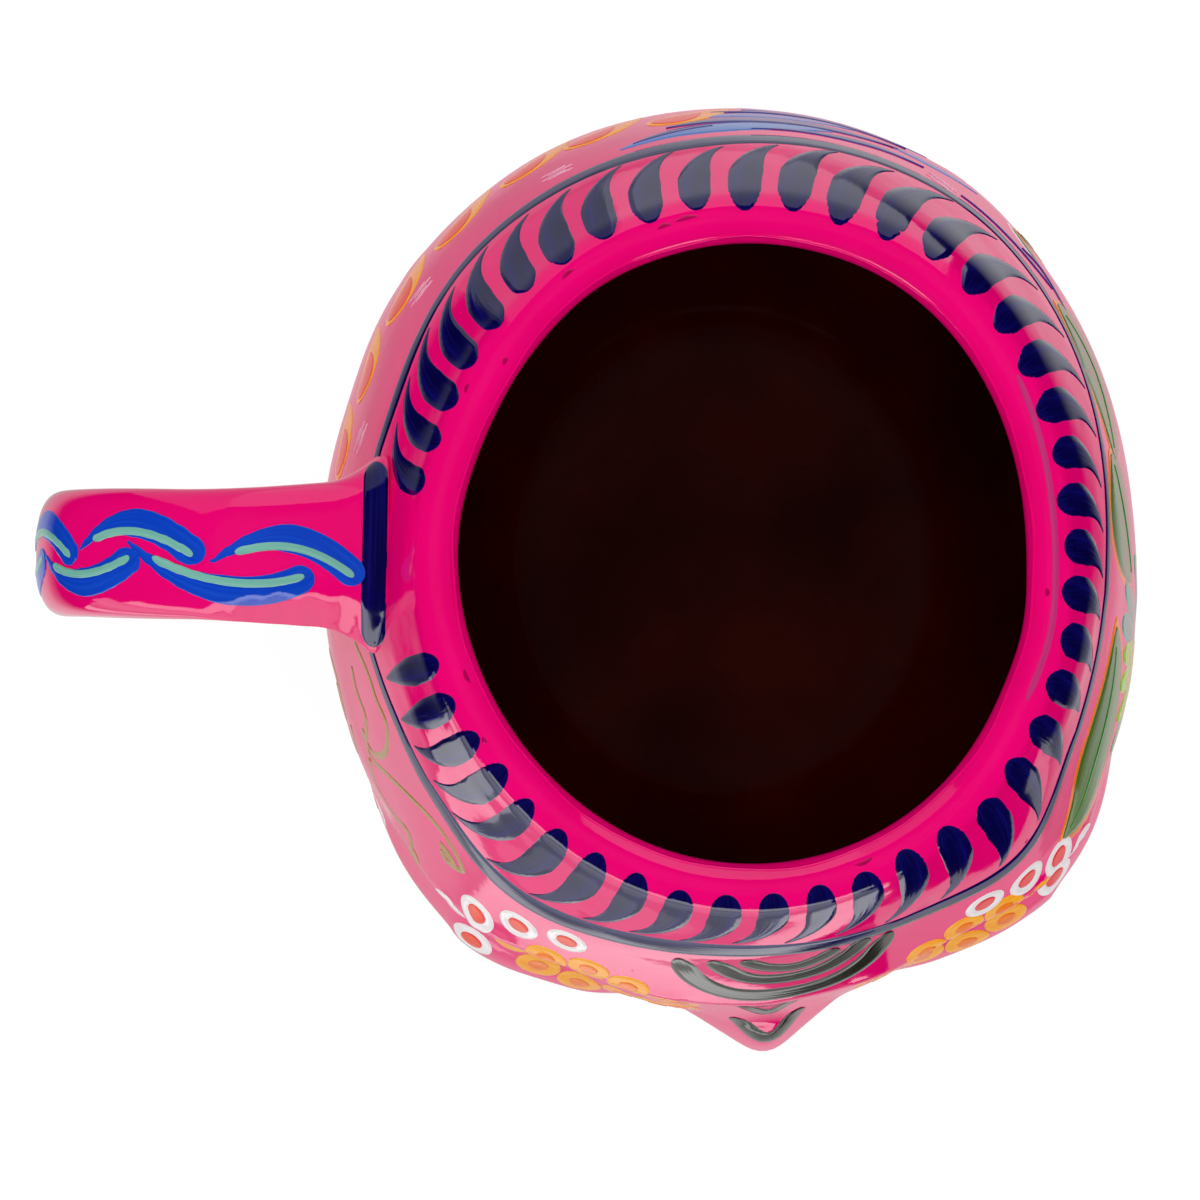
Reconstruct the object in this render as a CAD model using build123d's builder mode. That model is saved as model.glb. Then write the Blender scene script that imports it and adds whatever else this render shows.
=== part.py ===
"""Jarrito clay mug with a face: an oval pot, its glaze lining, a strap handle with its two lutes, and the
clay pieces of the face (brow coil, nose and two cheekbones) luted to the front of the pot.

Millimetres, +Z up. The origin is the middle of the flat base. The face looks along -Y and the handle
stands out along -X."""

import os
from math import asin, cos, degrees, radians, sin, sqrt

from build123d import *

# Pot: sizes across X; the pot is longer by the ovality along Y
height = 95.0
belly_width = 97.6
belly_height = 47.0
foot_width = 60.0
mouth_width = 64.0
ovality = 1.10
wall = 5.5
floor_thickness = 6.0
floor_fillet = 9.0
base_trim = 2.0

# Glaze lining
glaze_thickness = 0.5

# Handle: a strap in the XZ plane
strap_width = 15.2
strap_thickness = 8.4
strap_corner = 3.6
handle_reach = 84.0
upper_joint_drop = 9.5
handle_rise = 1.5
lower_joint_height = 27.0
lower_bend_rise = 8.0
lower_bend_inset = 5.0
upper_bend_radius = 23.0
lower_bend_radius = 17.0
joint_embed = 3.0

# Lutes: the coil of clay round each end of the strap
lute_spread = 2.6
lute_edge = 0.5
lute_length = 5.5

# Face: turned a little from the handle's square, as the hand-made mug is
face_turn = 4.0
eye_turn = 25.0
eye_height = 57.5
socket_width = 20.0
socket_depth = 2.4
# stations of half the brow coil: its middle, over the eye, at the temple and its end
brow_turns = (0.0, 28.0, 45.0, 57.0)
brow_heights = (70.0, 71.5, 69.0, 60.0)
brow_radii = (6.0, 6.5, 6.0, 2.6)
brow_stand_outs = (1.5, 2.0, 3.5, 0.3)
cheek_turn = 42.0
cheek_height = 41.0
cheek_half_length = 20.0
cheek_radius = 10.0
cheek_stand_out = 4.2
nose_embed = 4.0
nose_edge_radius = 3.6
# stations of the nose: its underside, its tip, its bridge and its root between the brows
nose_heights = (39.0, 46.0, 56.0, 68.0)
nose_half_widths = (11.5, 14.0, 10.5, 8.5)
nose_stand_outs = (1.2, 6.3, 4.0, 2.4)

half_turn = 180.0

# The pot's wall is two tangent arcs that meet at the belly, upright there
belly_radius = belly_width / 2
foot_radius = foot_width / 2
lip_radius = wall / 2
lip_centre = (mouth_width / 2 + lip_radius, height - lip_radius)


def upright_arc_radius(start_radius, end_radius, rise):
    """Radius of the arc that leaves start_radius upright and reaches end_radius after a rise."""
    inset = start_radius - end_radius
    return (rise**2 + inset**2) / (2 * inset)


upper_radius = lip_radius + upright_arc_radius(
    belly_radius - lip_radius, lip_centre[0], lip_centre[1] - belly_height
)
lower_radius = upright_arc_radius(belly_radius, foot_radius, belly_height)
upper_centre = (belly_radius - upper_radius, belly_height)
lower_centre = (belly_radius - lower_radius, belly_height)
lip_tilt = degrees(asin((lip_centre[1] - belly_height) / (upper_radius - lip_radius)))


def skin_radius(z):
    """Outer radius of the pot across X at a height."""
    arc = upper_radius if z > belly_height else lower_radius
    return belly_radius - arc + sqrt(arc**2 - (z - belly_height) ** 2)


def skin_frame(turn, z):
    """Point, outward normal and level tangent of the pot's skin at a turn from the face's middle."""
    angle = radians(turn + face_turn)
    across, along = skin_radius(z), skin_radius(z) * ovality
    point = Vector(across * sin(angle), -along * cos(angle), z)
    level = Vector(sin(angle) / across, -cos(angle) / along, 0).normalized()
    arc = upper_radius if z > belly_height else lower_radius
    normal = (level + Vector(0, 0, (z - belly_height) / arc)).normalized()
    return point, normal, Vector(-level.Y, level.X, 0)


def face_plane(z):
    """Level plane whose -y looks out of the face's middle."""
    turn = radians(face_turn)
    return Plane((0, 0, z), x_dir=(cos(turn), sin(turn), 0), z_dir=(0, 0, 1))


def outer_line():
    """The pot's outer profile, from below the middle of the base to the outer edge of the lip."""
    foot_angle = degrees(asin((belly_height + base_trim) / lower_radius))
    foot_arc = CenterArc(lower_centre, lower_radius, -foot_angle, foot_angle)
    Line((0, -base_trim), foot_arc @ 0)
    CenterArc(upper_centre, upper_radius, 0, lip_tilt)


def cavity_line(inset):
    """The inner profile at an inset from the clay, from the lip's inner edge to the axis, and its ends."""
    upper = upper_radius - wall - inset
    lower = lower_radius - wall - inset
    floor = floor_thickness + inset
    floor_angle = degrees(asin((belly_height - floor) / lower))
    start = CenterArc(upper_centre, upper, lip_tilt, -lip_tilt) @ 0
    corner = CenterArc(lower_centre, lower, 0, -floor_angle) @ 1
    Line(corner, (0, floor))
    return start, Vector(0, floor), corner


def make_oval():
    """Spins the drawn profile about the axis, stretches it to the oval and trims the base flat."""
    revolve(axis=Axis.Z)
    scale(by=(1, ovality, 1))
    split(bisect_by=Plane.XY)


# Envelope: the pot's outer form as one solid, which the luted pieces are trimmed to
with BuildPart() as envelope:
    with BuildSketch(Plane.XZ):
        with BuildLine():
            outer_line()
            CenterArc(lip_centre, lip_radius, lip_tilt, 90 - lip_tilt)
            Line((lip_centre[0], height), (0, height))
            Line((0, height), (0, -base_trim))
        make_face()
    make_oval()

# Eye sockets: two shallow bowls scooped out of the pot and out of the clay round them
socket_radius = (socket_width**2 / 4 + socket_depth**2) / (2 * socket_depth)
with BuildPart() as sockets:
    for side in (-1, 1):
        point, normal, tangent = skin_frame(side * eye_turn, eye_height)
        with Locations(point + normal * (socket_radius - socket_depth)):
            Sphere(socket_radius)

# Pot
with BuildPart() as pot:
    with BuildSketch(Plane.XZ):
        with BuildLine():
            outer_line()
            CenterArc(lip_centre, lip_radius, lip_tilt, half_turn)
            inner_start, inner_end, floor_corner = cavity_line(0)
            Line(inner_end, (0, -base_trim))
        make_face()
        fillet(vertices().sort_by_distance(Plane.XZ.from_local_coords(floor_corner))[0], floor_fillet)
    make_oval()
    add(sockets.part, mode=Mode.SUBTRACT)
pot.part.label = "pot"

# Glaze lining: from the lip's inner edge down over the floor
with BuildPart() as glaze_lining:
    with BuildSketch(Plane.XZ):
        with BuildLine():
            clay_start, clay_end, clay_corner = cavity_line(0)
            glaze_start, glaze_end, glaze_corner = cavity_line(glaze_thickness)
            Line(clay_start, glaze_start)
            Line(clay_end, glaze_end)
        make_face()
        for corner, radius in ((clay_corner, floor_fillet), (glaze_corner, floor_fillet - glaze_thickness)):
            fillet(vertices().sort_by_distance(Plane.XZ.from_local_coords(corner))[0], radius)
    revolve(axis=Axis.Z)
    scale(by=(1, ovality, 1))
glaze_lining.part.label = "glaze_lining"

# Handle: the strap's middle line leaves the shoulder, turns down and comes back to the low belly
strap_x = -(handle_reach - strap_thickness / 2)
upper_joint_height = height - upper_joint_drop
with BuildLine(Plane.XZ) as strap_line:
    FilletPolyline(
        (-(skin_radius(upper_joint_height) - joint_embed), upper_joint_height),
        (strap_x, upper_joint_height + handle_rise),
        (strap_x + lower_bend_inset, lower_joint_height + lower_bend_rise),
        (-(skin_radius(lower_joint_height) - joint_embed), lower_joint_height),
        radius=[upper_bend_radius, lower_bend_radius],
    )
strap_path = strap_line.line


def strap_plane(position, inset=0.0):
    """Plane square to the strap at one of its ends, moved by an inset along the strap."""
    along = strap_path % position
    inward = along if position == 0 else -along
    return Plane(strap_path @ position + inward * inset, x_dir=(0, 1, 0), z_dir=inward)


with BuildPart() as handle:
    with BuildSketch(strap_plane(0)):
        RectangleRounded(strap_width, strap_thickness, strap_corner)
    sweep(path=strap_path)
    add(envelope.part, mode=Mode.SUBTRACT)
handle.part.label = "handle"


def make_lute(position):
    """Collar of clay that narrows from the pot's skin to the strap."""
    with BuildPart() as lute:
        for inset, spread in ((0, lute_spread), (joint_embed + lute_length, lute_edge)):
            with BuildSketch(strap_plane(position, inset)):
                RectangleRounded(
                    strap_width + 2 * spread, strap_thickness + 2 * spread, strap_corner + spread
                )
        loft()
        add(handle.part, mode=Mode.SUBTRACT)
        add(envelope.part, mode=Mode.SUBTRACT)
    return lute


handle_upper_lute = make_lute(0)
handle_upper_lute.part.label = "handle_upper_lute"
handle_lower_lute = make_lute(1)
handle_lower_lute.part.label = "handle_lower_lute"

# Nose: a pinched wedge, widest and furthest out at its tip
with BuildPart() as nose:
    for station, half_width, stand_out in zip(nose_heights, nose_half_widths, nose_stand_outs):
        skin = skin_radius(station) * ovality
        with BuildSketch(face_plane(station)):
            with BuildLine():
                FilletPolyline(
                    (-half_width, nose_embed - skin),
                    (0, -skin - stand_out),
                    (half_width, nose_embed - skin),
                    radius=nose_edge_radius,
                )
                Line((half_width, nose_embed - skin), (-half_width, nose_embed - skin))
            make_face()
    loft()
    add(envelope.part, mode=Mode.SUBTRACT)
    add(sockets.part, mode=Mode.SUBTRACT)
nose.part.label = "nose"


# Cheekbones: long pads half sunk in the belly
def make_cheekbone(side):
    """Spindle of clay along the belly, trimmed to the pot's skin and to the eye socket."""
    point, normal, tangent = skin_frame(side * cheek_turn, cheek_height)
    bed = Plane(point + normal * (cheek_stand_out - cheek_radius), x_dir=tangent, z_dir=normal)
    with BuildPart() as cheekbone:
        with BuildSketch(bed):
            with BuildLine():
                EllipticalCenterArc((0, 0), cheek_half_length, cheek_radius, start_angle=0, arc_size=half_turn)
                Line((-cheek_half_length, 0), (cheek_half_length, 0))
            make_face()
        revolve(axis=Axis(bed.origin, bed.x_dir))
        add(envelope.part, mode=Mode.SUBTRACT)
        add(sockets.part, mode=Mode.SUBTRACT)
    return cheekbone


cheekbone_left = make_cheekbone(-1)
cheekbone_left.part.label = "cheekbone_left"
cheekbone_right = make_cheekbone(1)
cheekbone_right.part.label = "cheekbone_right"

# Brow coil: one coil over both eyes, lowest and thinnest at its ends
half_brow = list(zip(brow_turns, brow_heights, brow_radii, brow_stand_outs))
left_brow = [(-turn, station, radius, out) for turn, station, radius, out in half_brow[:0:-1]]
brow_stations = left_brow + half_brow
brow_centres = []
for turn, station, radius, stand_out in brow_stations:
    point, normal, tangent = skin_frame(turn, station)
    brow_centres.append(point + normal * (stand_out - radius))
with BuildPart() as brow_coil:
    for index, (turn, station, radius, stand_out) in enumerate(brow_stations):
        before = brow_centres[max(index - 1, 0)]
        after = brow_centres[min(index + 1, len(brow_centres) - 1)]
        with BuildSketch(Plane(brow_centres[index], x_dir=(0, 0, 1), z_dir=after - before)):
            Circle(radius)
    loft()
    add(envelope.part, mode=Mode.SUBTRACT)
    add(nose.part, mode=Mode.SUBTRACT)
    add(cheekbone_left.part, mode=Mode.SUBTRACT)
    add(cheekbone_right.part, mode=Mode.SUBTRACT)
    add(sockets.part, mode=Mode.SUBTRACT)
brow_coil.part.label = "brow_coil"

os.makedirs("parts", exist_ok=True)
for piece in (
    pot,
    glaze_lining,
    handle,
    handle_upper_lute,
    handle_lower_lute,
    nose,
    cheekbone_left,
    cheekbone_right,
    brow_coil,
):
    export_step(piece.part, f"parts/{piece.part.label}.step")
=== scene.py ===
"""Jarrito clay mug with a moulded calavera face, lacquered and painted by hand, glazed inside."""

import math
import random
from functools import partial

import bmesh
import bpy
from mathutils import Matrix, Vector
from mathutils.bvhtree import BVHTree


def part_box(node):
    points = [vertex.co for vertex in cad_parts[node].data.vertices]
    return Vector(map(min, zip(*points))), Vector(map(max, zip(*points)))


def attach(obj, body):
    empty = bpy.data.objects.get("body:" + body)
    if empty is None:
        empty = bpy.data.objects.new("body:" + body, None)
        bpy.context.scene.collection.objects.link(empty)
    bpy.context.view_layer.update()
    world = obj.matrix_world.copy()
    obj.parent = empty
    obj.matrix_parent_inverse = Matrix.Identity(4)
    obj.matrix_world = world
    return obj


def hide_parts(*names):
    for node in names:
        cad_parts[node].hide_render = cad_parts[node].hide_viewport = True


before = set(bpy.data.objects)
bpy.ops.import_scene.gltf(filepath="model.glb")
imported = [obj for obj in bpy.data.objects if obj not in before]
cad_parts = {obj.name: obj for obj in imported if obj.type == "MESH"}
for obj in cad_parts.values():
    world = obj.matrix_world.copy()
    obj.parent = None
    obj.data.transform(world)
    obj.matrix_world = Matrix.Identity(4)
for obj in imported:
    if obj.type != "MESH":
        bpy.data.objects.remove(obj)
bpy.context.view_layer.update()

# Lengths below are in millimetres, and a finished piece goes to metres
MM = 0.001

# The pot, as the frame has it
pot_low, pot_high = (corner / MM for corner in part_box("pot"))
HEIGHT = pot_high.z
BELLY_RADIUS = (pot_high.x - pot_low.x) / 2
OVALITY = (pot_high.y - pot_low.y) / (pot_high.x - pot_low.x)
BELLY_HEIGHT = 47.0
FOOT_RADIUS = 30.0
FOOT_ROUNDING = 1.6
MOUTH_RADIUS = 32.0
WALL = 5.5
FLOOR = 6.0
FLOOR_FILLET = 9.0
GLAZE = 0.5

# The strap handle
STRAP_ROUTE = ((-34.0, 85.5), (-79.8, 87.0), (-74.8, 35.0), (-42.0, 27.0))
STRAP_BENDS = (23.0, 17.0)
STRAP_HALF_WIDTH = 7.35
STRAP_HALF_THICKNESS = 4.1

# The face looks a little to the right of straight ahead
FACE_BEARING = 274.0

# Paint
PAINT = 0.07
SINK = 0.04

LIP_RADIUS = WALL / 2
LIP_CENTRE = Vector((MOUTH_RADIUS + LIP_RADIUS, HEIGHT - LIP_RADIUS))


def upright_arc(start, end, rise):
    """Radius of the arc that leaves a radius upright and reaches another one after a rise."""
    inset = start - end
    return (rise**2 + inset**2) / (2 * inset)


UPPER_ARC = LIP_RADIUS + upright_arc(BELLY_RADIUS - LIP_RADIUS, LIP_CENTRE.x, LIP_CENTRE.y - BELLY_HEIGHT)
LOWER_ARC = upright_arc(BELLY_RADIUS, FOOT_RADIUS, BELLY_HEIGHT)
LIP_LEAN = math.asin((LIP_CENTRE.y - BELLY_HEIGHT) / (UPPER_ARC - LIP_RADIUS))
LIP_OUTSIDE = LIP_RADIUS * (math.pi / 2 - LIP_LEAN)
LIP_INSIDE = LIP_RADIUS * (math.pi / 2 + LIP_LEAN)
SHOULDER = UPPER_ARC * LIP_LEAN
OUTSIDE = LIP_OUTSIDE + SHOULDER + LOWER_ARC * math.asin(BELLY_HEIGHT / LOWER_ARC)


def smooth(low, high, value):
    """Eased step from 0 at low to 1 at high."""
    part = min(max((value - low) / (high - low), 0.0), 1.0)
    return part * part * (3 - 2 * part)


def within(value, start, full, fading, end):
    """Eased share of a band: up from its start until it is full, and down from fading to its end."""
    return smooth(start, full, value) * (1 - smooth(fading, end, value))


def on_arc(arc, reach, rise):
    """Radius and height at a reach from the middle of one of the pot's arcs, at a rise from the belly."""
    return BELLY_RADIUS - arc + reach * math.cos(rise), BELLY_HEIGHT + reach * math.sin(rise)


def skin(drop):
    """Radius, height and lean of the pot's outside, at a distance down the skin from the lip's crest."""
    if drop < LIP_OUTSIDE:
        lean = drop / LIP_RADIUS
        return LIP_CENTRE.x + LIP_RADIUS * math.sin(lean), LIP_CENTRE.y + LIP_RADIUS * math.cos(lean), lean
    above = LIP_OUTSIDE + SHOULDER - drop
    arc = UPPER_ARC if above > 0 else LOWER_ARC
    rise = above / arc
    return *on_arc(arc, arc, rise), math.pi / 2 - rise


def drop_at(height):
    """Distance down the skin from the lip's crest to a height."""
    arc = UPPER_ARC if height > BELLY_HEIGHT else LOWER_ARC
    return LIP_OUTSIDE + SHOULDER - arc * math.asin((height - BELLY_HEIGHT) / arc)


# Materials


def linear(code):
    """An sRGB hex colour as linear RGBA."""
    parts = [int(code[i : i + 2], 16) / 255 for i in (1, 3, 5)]
    return [p / 12.92 if p <= 0.04045 else ((p + 0.055) / 1.055) ** 2.4 for p in parts] + [1.0]


def node(tree, kind, inputs=(), stops=(), **settings):
    """Adds a shader node with its settings, and feeds its inputs, given by name or in order.

    An input takes a value, a hex colour, a socket, or another node for that node's first output.
    """
    made = tree.nodes.new("ShaderNode" + kind)
    for name, value in settings.items():
        setattr(made, name, value)
    for name, value in inputs.items() if isinstance(inputs, dict) else enumerate(inputs):
        if isinstance(value, bpy.types.Node):
            value = value.outputs[0]
        if isinstance(value, bpy.types.NodeSocket):
            tree.links.new(value, made.inputs[name])
        else:
            made.inputs[name].default_value = linear(value) if isinstance(value, str) else value
    for index, (place, colour) in enumerate(stops):
        made.color_ramp.elements[index].position = place
        made.color_ramp.elements[index].color = linear(colour)
    return made


def new_finish(name):
    """An empty material and its node tree."""
    finish = bpy.data.materials.new(name)
    finish.use_nodes = True
    finish.node_tree.nodes.clear()
    return finish, finish.node_tree


def per_mm(size):
    """Texture scale on Object coordinates, in metres, for a pattern of a real size."""
    return 1.0 / (size * MM)


def lacquered_ground():
    """Magenta lacquer brushed over fired clay: even and deep, a little wavy, with a few sunk pinholes."""
    finish, tree = new_finish("magenta_lacquer")
    place = node(tree, "TexCoord").outputs["Object"]
    cloud = node(tree, "TexNoise", {"Vector": place, "Scale": per_mm(16), "Detail": 3.0})
    tone = node(tree, "ValToRGB", {"Fac": cloud}, stops=((0.3, "#EC006E"), (0.7, "#F50076")))
    pit = node(tree, "TexVoronoi", {"Vector": place, "Scale": per_mm(11)})
    pinhole = node(tree, "ValToRGB", {"Fac": pit}, stops=((0.016, "#000000"), (0.03, "#FFFFFF")))
    colour = node(tree, "Mix", {"Factor": pinhole, "A": "#8E0038", "B": tone}, data_type="RGBA")
    wave = node(tree, "TexNoise", {"Vector": place, "Scale": per_mm(6), "Detail": 4.0})
    swell = node(tree, "Bump", {"Height": wave, "Strength": 0.5, "Distance": 0.12 * MM})
    sunk = {"Height": pinhole, "Strength": 0.6, "Distance": 0.1 * MM, "Normal": swell}
    dimple = node(tree, "Bump", sunk)
    surface = {"Base Color": colour.outputs["Result"], "Roughness": 0.07, "IOR": 1.5, "Normal": dimple}
    node(tree, "OutputMaterial", {"Surface": node(tree, "BsdfPrincipled", surface)})
    return finish


def inner_glaze():
    """Fired brown glaze: near black, glassy, with faint rust-brown clouds where it ran thin."""
    finish, tree = new_finish("brown_glaze")
    place = node(tree, "TexCoord").outputs["Object"]
    cloud = node(tree, "TexNoise", {"Vector": place, "Scale": per_mm(22), "Detail": 5.0})
    tone = node(tree, "ValToRGB", {"Fac": cloud}, stops=((0.4, "#2C0200"), (0.75, "#470A03")))
    wave = node(tree, "TexNoise", {"Vector": place, "Scale": per_mm(9), "Detail": 2.0})
    swell = node(tree, "Bump", {"Height": wave, "Strength": 0.4, "Distance": 0.2 * MM})
    surface = {"Base Color": tone, "Roughness": 0.12, "IOR": 1.5, "Normal": swell}
    node(tree, "OutputMaterial", {"Surface": node(tree, "BsdfPrincipled", surface)})
    return finish


def bare_clay():
    """Low-fired red clay left bare under the foot: matt, sandy, with paler and darker grains."""
    finish, tree = new_finish("bare_red_clay")
    place = node(tree, "TexCoord").outputs["Object"]
    grain = node(tree, "TexNoise", {"Vector": place, "Scale": per_mm(0.9), "Detail": 4.0})
    tone = node(tree, "ValToRGB", {"Fac": grain}, stops=((0.35, "#8F4A2C"), (0.68, "#BE7550")))
    relief = node(tree, "Bump", {"Height": grain, "Strength": 0.5, "Distance": 0.15 * MM})
    surface = {"Base Color": tone, "Roughness": 0.9, "IOR": 1.5, "Normal": relief}
    node(tree, "OutputMaterial", {"Surface": node(tree, "BsdfPrincipled", surface)})
    return finish


# Bristle streaks along and across one stroke
STREAKS = (1.6, 9.0, 1.0)


def brushed_paint(name, body, thin, ior=1.5):
    """Enamel paint laid with a round brush: glossy, streaked by the bristles, paler where they thinned it."""
    finish, tree = new_finish(name)
    layer = node(tree, "UVMap", uv_map="brush")
    along = node(tree, "Mapping", {"Vector": layer, "Scale": STREAKS})
    bristle = node(tree, "TexNoise", {"Vector": along, "Scale": 1.0, "Detail": 3.0})
    tone = node(tree, "ValToRGB", {"Fac": bristle}, stops=((0.42, body), (0.72, thin)))
    relief = node(tree, "Bump", {"Height": bristle, "Strength": 0.25, "Distance": 0.08 * MM})
    surface = {"Base Color": tone, "Roughness": 0.08, "IOR": ior, "Normal": relief}
    node(tree, "OutputMaterial", {"Surface": node(tree, "BsdfPrincipled", surface)})
    return finish


MAGENTA = lacquered_ground()
GLAZE_FINISH = inner_glaze()
CLAY = bare_clay()

# Paints, the lean ones with less shine
NAVY = brushed_paint("navy_paint", "#05023E", "#100C6A")
BLUE = brushed_paint("blue_paint", "#0A3FC0", "#1650CC")
SKY = brushed_paint("sky_blue_paint", "#3C68BC", "#5F8BD2", ior=1.35)
INDIGO = brushed_paint("indigo_paint", "#2A2478", "#3E3A94")
SAGE = brushed_paint("sage_paint", "#6FB3A4", "#8CC4B4")
TURQUOISE = brushed_paint("turquoise_paint", "#35A08B", "#5CBDA8")
LEAF = brushed_paint("leaf_green_paint", "#4C6C2A", "#6A8840")
GREEN = brushed_paint("green_paint", "#1F7A24", "#3C9433")
LIME = brushed_paint("lime_paint", "#8FD431", "#A9E354")
YELLOW = brushed_paint("yellow_paint", "#FFA41C", "#FFBE46", ior=1.22)
ORANGE = brushed_paint("orange_paint", "#F5761E", "#FB9038", ior=1.3)
CORAL = brushed_paint("coral_paint", "#F24A36", "#FA6E54", ior=1.22)
RED = brushed_paint("red_paint", "#EC1E2A", "#F43C3A")
WHITE = brushed_paint("white_paint", "#EFE6E8", "#FFF8FA")
BLACK = brushed_paint("olive_black_paint", "#14160C", "#2A2B1C")
GOLD = brushed_paint("tan_gold_paint", "#A4752F", "#BE924A")
WINE = brushed_paint("wine_lacquer", "#A8004C", "#CC0060")
PALE = brushed_paint("thin_white_paint", "#E89AB8", "#FAD6E2", ior=1.3)
# A painted reflection: the muted band that a grey thing lays in the gloss along the lip's right side
REFLECTION_BAND_PAINT = brushed_paint("painted_reflection_band_paint", "#BC2A70", "#D03C80")


# Clay


def piece(shape, name, *finishes):
    """Turns a finished shape in millimetres into an object that rides with the mug."""
    bmesh.ops.scale(shape, vec=(MM, MM, MM), verts=shape.verts)
    mesh = bpy.data.meshes.new(name)
    shape.to_mesh(mesh)
    shape.free()
    mesh.shade_smooth()
    for finish in finishes:
        mesh.materials.append(finish)
    made = bpy.data.objects.new(name, mesh)
    bpy.context.scene.collection.objects.link(made)
    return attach(made, "root")


def bezier(points, part):
    """Point of the Bezier curve with these control points."""
    points = [Vector(point) for point in points]
    while len(points) > 1:
        points = [a.lerp(b, part) for a, b in zip(points, points[1:])]
    return points[0]


def hollow(inset):
    """Profile of the pot's inside at an inset from the clay, from the lip down to the axis."""
    wall_rows, bend_rows, floor_rows = 20, 6, 8
    upper = UPPER_ARC - WALL - inset
    lower = LOWER_ARC - WALL - inset
    floor = FLOOR + inset
    corner_rise = math.asin((BELLY_HEIGHT - floor) / lower)
    corner = (on_arc(LOWER_ARC, lower, corner_rise)[0], floor)
    flat = corner[0] - FLOOR_FILLET / 2
    wall_end = corner_rise - FLOOR_FILLET / 2 / lower
    rises = [LIP_LEAN * (1 - step / wall_rows) for step in range(1, wall_rows + 1)]
    points = [on_arc(UPPER_ARC, upper, rise) for rise in rises]
    rises = [-wall_end * step / wall_rows for step in range(1, wall_rows + 1)]
    points += [on_arc(LOWER_ARC, lower, rise) for rise in rises]
    bend = (points[-1], corner, (flat, floor))
    points += [bezier(bend, step / bend_rows) for step in range(1, bend_rows + 1)]
    points += [(flat * (1 - step / floor_rows), floor) for step in range(1, floor_rows + 1)]
    return points


# Dents and swells that the hand left: bearing, spread in degrees, and depth
BELLY_MARKS = (
    (8, 22, -0.75),
    (90, 14, -0.2),
    (57, 10, 0.5),
    (115, 12, 0.3),
    (140, 20, 0.6),
    (157, 9, -0.4),
    (210, 13, 0.7),
    (234, 16, 0.8),
    (247, 6, -0.7),
    (260, 9, 0.4),
    (272, 6, 0.15),
    (290, 8, 0.4),
    (299, 6, -0.5),
    (319, 13, 1.8),
    (338, 12, 0.9),
)
LIP_MARKS = ((76, 16, -0.3), (118, 13, 0.45), (155, 14, -0.4), (282, 30, -0.5), (346, 10, 0.35))
SHOULDER_MARKS = ((238, 14, 0.8), (314, 12, 1.9))

# Heights between which the marks on the belly and the shoulder come and go, and over which the lip starts
BELLY_BAND = (0, 40, 62, 80)
SHOULDER_BAND = (68, 80, 82, 93)
LIP_BAND = (80, 92)
LIP_SUNK_BAND = (60, 92)

# The lip's slip to the right, its three soft corners, how far it is drawn in, its wave and how far it sank
LIP_SHIFT = 0.8
LIP_CORNERS = 0.5
LIP_DRAWN_IN = 0.2
LIP_WAVE = 0.25
LIP_WAVE_TURN = 0.8
LIP_SUNK = 0.28


def marks(bearing, places):
    """How far the marks of the hand stand out at a bearing."""
    out = 0.0
    for mark, spread, depth in places:
        away = (bearing - mark + 180) % 360 - 180
        out += depth * math.exp(-((away / spread) ** 2))
    return out


def by_hand(point):
    """How far the hand moved a point of the pot outwards and up from the true oval."""
    bearing = math.degrees(math.atan2(point.y, point.x)) % 360
    turn = math.radians(bearing)
    lip = LIP_CORNERS * math.cos(3 * (turn - math.pi)) + LIP_SHIFT * math.cos(turn) - LIP_DRAWN_IN
    out = smooth(*LIP_BAND, point.z) * (lip + marks(bearing, LIP_MARKS))
    out += within(point.z, *BELLY_BAND) * marks(bearing, BELLY_MARKS)
    out += within(point.z, *SHOULDER_BAND) * marks(bearing, SHOULDER_MARKS)
    wave = LIP_WAVE * math.sin(2 * turn + LIP_WAVE_TURN)
    rise = smooth(*LIP_SUNK_BAND, point.z) * (wave - LIP_SUNK)
    return Vector((out * math.cos(turn), out * math.sin(turn), rise))


ROUND_STEPS = 400


def thrown(profile):
    """A shape of revolution from a profile of radius and height, drawn out to the oval."""
    shape = bmesh.new()
    verts = [shape.verts.new((point[0], 0, point[1])) for point in profile]
    edges = [shape.edges.new(pair) for pair in zip(verts, verts[1:])]
    turn = {"cent": (0, 0, 0), "axis": (0, 0, 1), "angle": math.tau, "steps": ROUND_STEPS}
    bmesh.ops.spin(shape, geom=verts + edges, use_merge=True, **turn)
    bmesh.ops.remove_doubles(shape, verts=shape.verts, dist=0.001)
    bmesh.ops.scale(shape, vec=(1, OVALITY, 1), verts=shape.verts)
    bmesh.ops.recalc_face_normals(shape, faces=shape.faces)
    return shape


def level_normal(x, y, lean):
    """Outward normal of the oval pot at x, y, where its skin leans this far from level."""
    level = Vector((x, y / OVALITY**2, 0)).normalized()
    return level * math.sin(lean) + Vector((0, 0, math.cos(lean)))


def frame_surface(*names):
    """The outside of some frame nodes in millimetres, to press the clay to."""
    shell = bmesh.new()
    for name in names:
        shell.from_mesh(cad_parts[name].data)
    bmesh.ops.scale(shell, vec=(1 / MM, 1 / MM, 1 / MM), verts=shell.verts)
    surface = BVHTree.FromBMesh(shell)
    shell.free()
    return surface


# The face that a wet finger smoothed: angles from its middle, heights, and the nose that stays crisp
FACE_SPREAD = 75.0
FACE_LOW = 24.0
FACE_HIGH = 86.0
TEMPLE_START = 40.0
TEMPLE_END = 80.0
TEMPLE_LOW = 22.0
FOREHEAD_SPREAD = 58.0
NOSE_TIP = Vector((4.0, -58.0, 46.0))
NOSE_REACH = 11.0


def brow_height(away):
    """Height of the brow's ridge at an angle from the middle of the face."""
    return 70.0 + 1.5 * smooth(0, 28, away) - 9.0 * smooth(32, 58, away)


def forehead_top(away):
    """Height where the forehead and the temples leave the shoulder."""
    return 83.0 + 6.5 * smooth(18, 36, away)


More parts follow.
